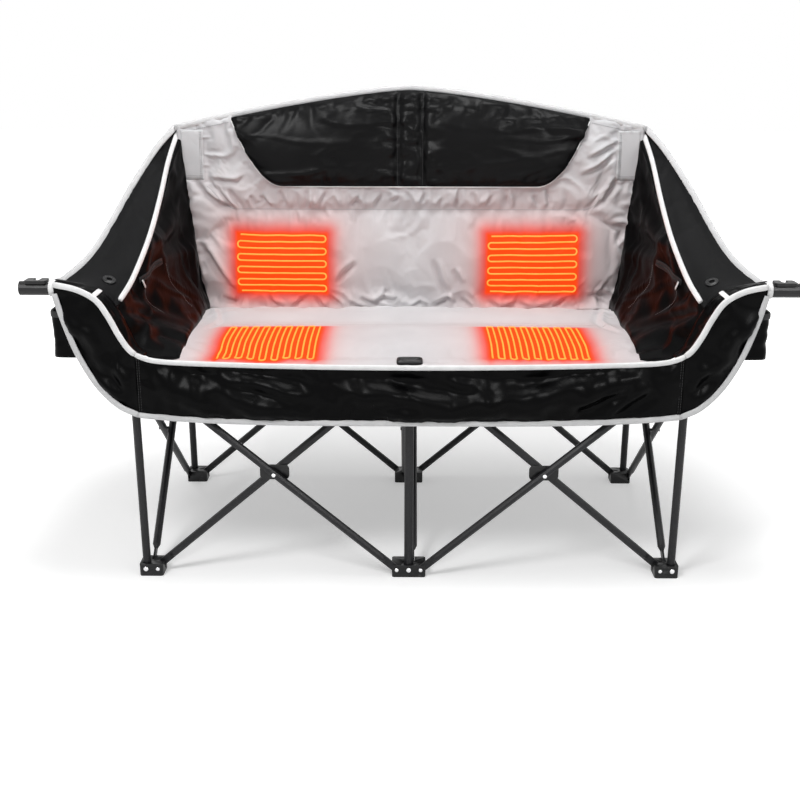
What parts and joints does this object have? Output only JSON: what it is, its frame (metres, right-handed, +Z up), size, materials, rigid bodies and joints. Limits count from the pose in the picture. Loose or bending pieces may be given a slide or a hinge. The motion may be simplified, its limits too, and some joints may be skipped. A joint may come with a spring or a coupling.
{
  "type": "folding camping loveseat",
  "caption": "Folding padded camping loveseat on a scissor leg frame, with wing arms, stemware holders, bottle pouches and heating mats in the seat and back.",
  "frame": {"origin": "on the floor, under the middle of the bounding box", "axes": "+X to the right of the picture, +Y away from the viewer towards the back of the seat, +Z up"},
  "size_m": [1.458, 0.5767, 0.937],
  "materials": {
    "moulded_plastic": "black moulded nylon, satin, lightly scuffed",
    "coated_steel": "black hammered powder coat with soft highlights",
    "black_nylon": "black oxford nylon with a soft sheen and slack folds",
    "grey_padding": "light grey padded polyester with puckered seams",
    "heating_mat": "heating wire mat, shown glowing orange"
  },
  "bodies": {
    "leg_front_centre": {"foot_front_centre": "moulded_plastic", "leg_front_centre": "coated_steel"},
    "scissor_front_left_rising_out": {"scissor_front_left_rising_out": "coated_steel", "crossing_front_left": "moulded_plastic"},
    "scissor_front_left_rising_in": {"scissor_front_left_rising_in": "coated_steel"},
    "leg_front_left": {"foot_front_left": "moulded_plastic", "leg_front_left": "coated_steel"},
    "hub_front_left": {"hub_front_left": "moulded_plastic", "rod_front_left": "coated_steel"},
    "scissor_front_right_rising_out": {"scissor_front_right_rising_out": "coated_steel", "crossing_front_right": "moulded_plastic"},
    "scissor_front_right_rising_in": {"scissor_front_right_rising_in": "coated_steel"},
    "leg_front_right": {"foot_front_right": "moulded_plastic", "leg_front_right": "coated_steel"},
    "hub_front_right": {"hub_front_right": "moulded_plastic", "rod_front_right": "coated_steel"},
    "hub_front_centre": {"hub_front_centre": "moulded_plastic", "rod_front_centre": "coated_steel", "apron_centre": "black_nylon"},
    "scissor_side_left_rising_back": {"scissor_side_left_rising_back": "coated_steel"},
    "scissor_side_left_rising_front": {"scissor_side_left_rising_front": "coated_steel"},
    "leg_rear_left": {"foot_rear_left": "moulded_plastic", "post_rear_left": "coated_steel"},
    "hub_rear_left": {"hub_rear_left": "moulded_plastic"},
    "scissor_side_centre_rising_back": {"scissor_side_centre_rising_back": "coated_steel"},
    "scissor_side_centre_rising_front": {"scissor_side_centre_rising_front": "coated_steel"},
    "leg_rear_centre": {"foot_rear_centre": "moulded_plastic", "post_rear_centre": "coated_steel", "back_pad": "grey_padding", "headrest_panel": "black_nylon", "heating_mats_back": "heating_mat"},
    "hub_rear_centre": {"hub_rear_centre": "moulded_plastic"},
    "scissor_side_right_rising_back": {"scissor_side_right_rising_back": "coated_steel"},
    "scissor_side_right_rising_front": {"scissor_side_right_rising_front": "coated_steel"},
    "leg_rear_right": {"foot_rear_right": "moulded_plastic", "post_rear_right": "coated_steel"},
    "hub_rear_right": {"hub_rear_right": "moulded_plastic"},
    "scissor_rear_left_rising_out": {"scissor_rear_left_rising_out": "coated_steel", "crossing_rear_left": "moulded_plastic"},
    "scissor_rear_left_rising_in": {"scissor_rear_left_rising_in": "coated_steel"},
    "scissor_rear_right_rising_out": {"scissor_rear_right_rising_out": "coated_steel", "crossing_rear_right": "moulded_plastic"},
    "scissor_rear_right_rising_in": {"scissor_rear_right_rising_in": "coated_steel"},
    "arm_strut_left": {"arm_strut_left": "coated_steel", "stem_holder_left": "moulded_plastic", "apron_arm_left": "black_nylon", "bottle_pouch_left": "black_nylon"},
    "arm_strut_right": {"arm_strut_right": "coated_steel", "stem_holder_right": "moulded_plastic", "apron_arm_right": "black_nylon", "bottle_pouch_right": "black_nylon"},
    "seat_front": {"seat_pad_front": "grey_padding", "heating_mats_seat": "heating_mat"},
    "seat_rear": {"seat_pad_rear": "grey_padding"},
    "arm_wing_left": {"arm_wing_left": "black_nylon"},
    "side_panel_left": {"side_panel_left": "black_nylon"},
    "arm_wing_right": {"arm_wing_right": "black_nylon"},
    "side_panel_right": {"side_panel_right": "black_nylon"},
    "power_button": {"power_button": "moulded_plastic"}
  },
  "joints": [
    {"name": "fold", "type": "hinge", "parent": "leg_front_centre", "child": "scissor_front_left_rising_out", "pos_m": [-0.024, -0.26, 0.016], "axis": [0, 1, 0], "range_deg": [0, 40], "deforming": ["seat_pad_front", "seat_pad_rear", "back_pad", "headrest_panel", "heating_mats_seat", "heating_mats_back", "apron_centre", "apron_arm_left", "apron_arm_right", "arm_wing_left", "arm_wing_right", "side_panel_left", "side_panel_right"]},
    {"name": "scissor_front_left_rising_in_cross", "type": "hinge", "parent": "scissor_front_left_rising_out", "child": "scissor_front_left_rising_in", "pos_m": [-0.265, -0.2505, 0.222], "axis": [0, 1, 0], "range_deg": [-80, 0]},
    {"name": "foot_front_left_pivot", "type": "hinge", "parent": "scissor_front_left_rising_in", "child": "leg_front_left", "pos_m": [-0.506, -0.241, 0.016], "axis": [0, 1, 0], "range_deg": [0, 40]},
    {"name": "hub_front_left_pivot", "type": "hinge", "parent": "scissor_front_left_rising_out", "child": "hub_front_left", "pos_m": [-0.506, -0.26, 0.428], "axis": [0, 1, 0], "range_deg": [-40, 0]},
    {"name": "hub_front_centre_pivot", "type": "hinge", "parent": "scissor_front_left_rising_in", "child": "hub_front_centre", "pos_m": [-0.024, -0.241, 0.428], "axis": [0, 1, 0], "range_deg": [0, 40]},
    {"name": "scissor_front_right_rising_out_pivot", "type": "hinge", "parent": "leg_front_centre", "child": "scissor_front_right_rising_out", "pos_m": [0.024, -0.26, 0.016], "axis": [0, 1, 0], "range_deg": [-40, 0]},
    {"name": "scissor_front_right_rising_in_cross", "type": "hinge", "parent": "scissor_front_right_rising_out", "child": "scissor_front_right_rising_in", "pos_m": [0.265, -0.2505, 0.222], "axis": [0, 1, 0], "range_deg": [0, 80]},
    {"name": "foot_front_right_pivot", "type": "hinge", "parent": "scissor_front_right_rising_in", "child": "leg_front_right", "pos_m": [0.506, -0.241, 0.016], "axis": [0, 1, 0], "range_deg": [-40, 0]},
    {"name": "hub_front_right_pivot", "type": "hinge", "parent": "scissor_front_right_rising_out", "child": "hub_front_right", "pos_m": [0.506, -0.26, 0.428], "axis": [0, 1, 0], "range_deg": [0, 40]},
    {"name": "scissor_side_left_rising_back_pivot", "type": "hinge", "parent": "leg_front_left", "child": "scissor_side_left_rising_back", "pos_m": [-0.5205, -0.2315, 0.016], "axis": [1, 0, 0], "range_deg": [0, 40]},
    {"name": "scissor_side_left_rising_front_cross", "type": "hinge", "parent": "scissor_side_left_rising_back", "child": "scissor_side_left_rising_front", "pos_m": [-0.53, 0.0095, 0.222], "axis": [1, 0, 0], "range_deg": [-80, 0]},
    {"name": "foot_rear_left_pivot", "type": "hinge", "parent": "scissor_side_left_rising_front", "child": "leg_rear_left", "pos_m": [-0.5395, 0.2505, 0.016], "axis": [1, 0, 0], "range_deg": [0, 40]},
    {"name": "hub_rear_left_pivot", "type": "hinge", "parent": "scissor_side_left_rising_back", "child": "hub_rear_left", "pos_m": [-0.5205, 0.2505, 0.428], "axis": [1, 0, 0], "range_deg": [-40, 0]},
    {"name": "scissor_side_centre_rising_back_pivot", "type": "hinge", "parent": "leg_front_centre", "child": "scissor_side_centre_rising_back", "pos_m": [0.0095, -0.2315, 0.016], "axis": [1, 0, 0], "range_deg": [0, 40]},
    {"name": "scissor_side_centre_rising_front_cross", "type": "hinge", "parent": "scissor_side_centre_rising_back", "child": "scissor_side_centre_rising_front", "pos_m": [0, 0.0095, 0.222], "axis": [1, 0, 0], "range_deg": [-80, 0]},
    {"name": "foot_rear_centre_pivot", "type": "hinge", "parent": "scissor_side_centre_rising_front", "child": "leg_rear_centre", "pos_m": [-0.0095, 0.2505, 0.016], "axis": [1, 0, 0], "range_deg": [0, 40]},
    {"name": "hub_rear_centre_pivot", "type": "hinge", "parent": "scissor_side_centre_rising_back", "child": "hub_rear_centre", "pos_m": [0.0095, 0.2505, 0.428], "axis": [1, 0, 0], "range_deg": [-40, 0]},
    {"name": "scissor_side_right_rising_back_pivot", "type": "hinge", "parent": "leg_front_right", "child": "scissor_side_right_rising_back", "pos_m": [0.5205, -0.2315, 0.016], "axis": [1, 0, 0], "range_deg": [0, 40]},
    {"name": "scissor_side_right_rising_front_cross", "type": "hinge", "parent": "scissor_side_right_rising_back", "child": "scissor_side_right_rising_front", "pos_m": [0.53, 0.0095, 0.222], "axis": [1, 0, 0], "range_deg": [-80, 0]},
    {"name": "foot_rear_right_pivot", "type": "hinge", "parent": "scissor_side_right_rising_front", "child": "leg_rear_right", "pos_m": [0.5395, 0.2505, 0.016], "axis": [1, 0, 0], "range_deg": [0, 40]},
    {"name": "hub_rear_right_pivot", "type": "hinge", "parent": "scissor_side_right_rising_back", "child": "hub_rear_right", "pos_m": [0.5205, 0.2505, 0.428], "axis": [1, 0, 0], "range_deg": [-40, 0]},
    {"name": "scissor_rear_left_rising_out_pivot", "type": "hinge", "parent": "leg_rear_centre", "child": "scissor_rear_left_rising_out", "pos_m": [-0.024, 0.279, 0.016], "axis": [0, 1, 0], "range_deg": [0, 40]},
    {"name": "scissor_rear_left_rising_in_cross", "type": "hinge", "parent": "scissor_rear_left_rising_out", "child": "scissor_rear_left_rising_in", "pos_m": [-0.265, 0.2695, 0.222], "axis": [0, 1, 0], "range_deg": [-80, 0]},
    {"name": "scissor_rear_right_rising_out_pivot", "type": "hinge", "parent": "leg_rear_centre", "child": "scissor_rear_right_rising_out", "pos_m": [0.024, 0.279, 0.016], "axis": [0, 1, 0], "range_deg": [-40, 0]},
    {"name": "scissor_rear_right_rising_in_cross", "type": "hinge", "parent": "scissor_rear_right_rising_out", "child": "scissor_rear_right_rising_in", "pos_m": [0.265, 0.2695, 0.222], "axis": [0, 1, 0], "range_deg": [0, 80]},
    {"name": "arm_strut_left_pivot", "type": "hinge", "parent": "hub_front_left", "child": "arm_strut_left", "pos_m": [-0.554, -0.2505, 0.428], "axis": [0, 1, 0], "range_deg": [0, 36.24]},
    {"name": "arm_strut_right_pivot", "type": "hinge", "parent": "hub_front_right", "child": "arm_strut_right", "pos_m": [0.554, -0.2505, 0.428], "axis": [0, 1, 0], "range_deg": [-36.24, 0]},
    {"name": "seat_front_pivot", "type": "hinge", "parent": "hub_front_centre", "child": "seat_front", "pos_m": [0, -0.2315, 0.4403], "axis": [1, 0, 0], "range_deg": [-77.49, 0]},
    {"name": "seat_rear_pivot", "type": "hinge", "parent": "hub_rear_centre", "child": "seat_rear", "pos_m": [0, 0.2505, 0.4403], "axis": [1, 0, 0], "range_deg": [0, 77.49]},
    {"name": "arm_wing_left_draw", "type": "slide", "parent": "leg_rear_left", "child": "arm_wing_left", "axis": [0.2516, 0.805, 0.5373], "range_m": [0, 0.46907]},
    {"name": "side_panel_left_draw", "type": "slide", "parent": "leg_rear_left", "child": "side_panel_left", "axis": [0, 0.8706, 0.4921], "range_m": [0, 0.43374]},
    {"name": "arm_wing_right_draw", "type": "slide", "parent": "leg_rear_right", "child": "arm_wing_right", "axis": [-0.2516, 0.805, 0.5373], "range_m": [0, 0.46907]},
    {"name": "side_panel_right_draw", "type": "slide", "parent": "leg_rear_right", "child": "side_panel_right", "axis": [0, 0.8706, 0.4921], "range_m": [0, 0.43374]},
    {"name": "power_button_press", "type": "slide", "parent": "seat_front", "child": "power_button", "axis": [0, 0, -1], "range_m": [0, 0.0005], "stiffness_N_per_m": 500}
  ],
  "couplings": [
    {"joint": "scissor_front_left_rising_in_cross", "follows": "fold", "ratio": -2},
    {"joint": "foot_front_left_pivot", "follows": "fold", "ratio": 1},
    {"joint": "hub_front_left_pivot", "follows": "fold", "ratio": -1},
    {"joint": "hub_front_centre_pivot", "follows": "fold", "ratio": 1},
    {"joint": "scissor_front_right_rising_out_pivot", "follows": "fold", "ratio": -1},
    {"joint": "scissor_front_right_rising_in_cross", "follows": "fold", "ratio": 2},
    {"joint": "foot_front_right_pivot", "follows": "fold", "ratio": -1},
    {"joint": "hub_front_right_pivot", "follows": "fold", "ratio": 1},
    {"joint": "scissor_side_left_rising_back_pivot", "follows": "fold", "ratio": 1},
    {"joint": "scissor_side_left_rising_front_cross", "follows": "fold", "ratio": -2},
    {"joint": "foot_rear_left_pivot", "follows": "fold", "ratio": 1},
    {"joint": "hub_rear_left_pivot", "follows": "fold", "ratio": -1},
    {"joint": "scissor_side_centre_rising_back_pivot", "follows": "fold", "ratio": 1},
    {"joint": "scissor_side_centre_rising_front_cross", "follows": "fold", "ratio": -2},
    {"joint": "foot_rear_centre_pivot", "follows": "fold", "ratio": 1},
    {"joint": "hub_rear_centre_pivot", "follows": "fold", "ratio": -1},
    {"joint": "scissor_side_right_rising_back_pivot", "follows": "fold", "ratio": 1},
    {"joint": "scissor_side_right_rising_front_cross", "follows": "fold", "ratio": -2},
    {"joint": "foot_rear_right_pivot", "follows": "fold", "ratio": 1},
    {"joint": "hub_rear_right_pivot", "follows": "fold", "ratio": -1},
    {"joint": "scissor_rear_left_rising_out_pivot", "follows": "fold", "ratio": 1},
    {"joint": "scissor_rear_left_rising_in_cross", "follows": "fold", "ratio": -2},
    {"joint": "scissor_rear_right_rising_out_pivot", "follows": "fold", "ratio": -1},
    {"joint": "scissor_rear_right_rising_in_cross", "follows": "fold", "ratio": 2},
    {"joint": "arm_strut_left_pivot", "follows": "fold", "ratio": 0.90596},
    {"joint": "arm_strut_right_pivot", "follows": "fold", "ratio": -0.90596},
    {"joint": "seat_front_pivot", "follows": "fold", "ratio": -1.9373},
    {"joint": "seat_rear_pivot", "follows": "fold", "ratio": 1.9373},
    {"joint": "arm_wing_left_draw", "follows": "fold", "m_per_rad": 0.6719},
    {"joint": "side_panel_left_draw", "follows": "fold", "m_per_rad": 0.62129},
    {"joint": "arm_wing_right_draw", "follows": "fold", "m_per_rad": 0.6719},
    {"joint": "side_panel_right_draw", "follows": "fold", "m_per_rad": 0.62129}
  ]
}
